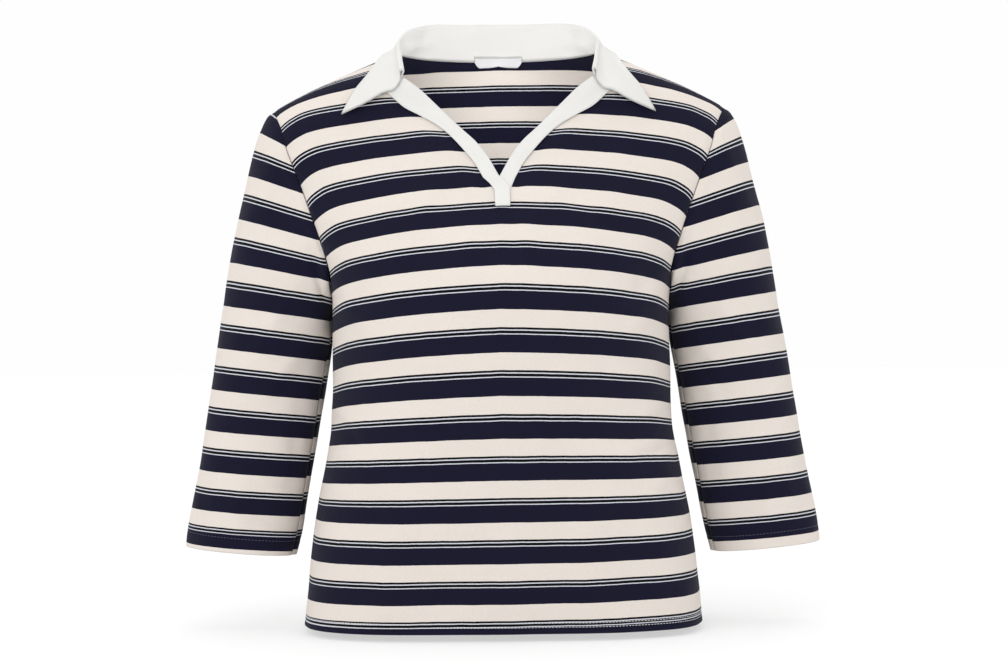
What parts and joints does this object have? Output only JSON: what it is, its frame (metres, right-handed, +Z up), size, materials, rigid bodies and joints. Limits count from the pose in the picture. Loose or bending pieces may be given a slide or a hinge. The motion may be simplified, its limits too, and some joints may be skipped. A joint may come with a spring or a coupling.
{
  "type": "striped rugby jersey top",
  "caption": "Three-quarter sleeve rugby-style jersey top in navy and cream stripes, with a white collar and an open banded V neck, filled out with no wearer.",
  "frame": {"origin": "midway between the shoulders at the height of the shoulder seams' neck ends, where the wearer's shoulders carry the garment", "axes": "+X towards the wearer's left, the front faces -Y, +Z up"},
  "size_m": [0.634, 0.2502, 0.6021],
  "materials": {
    "striped_jersey": "soft matte cotton knit, navy and cream stripes with thin lines between them",
    "white_woven": "white cotton twill, pressed, edge-stitched",
    "label_satin": "smooth white label tape, bare"
  },
  "bodies": {
    "root": {"front": "striped_jersey", "back": "striped_jersey", "sleeve_left": "striped_jersey", "sleeve_right": "striped_jersey", "collar": "white_woven", "band_left": "white_woven", "band_right": "white_woven", "neck_label": "label_satin"}
  },
  "joints": []
}
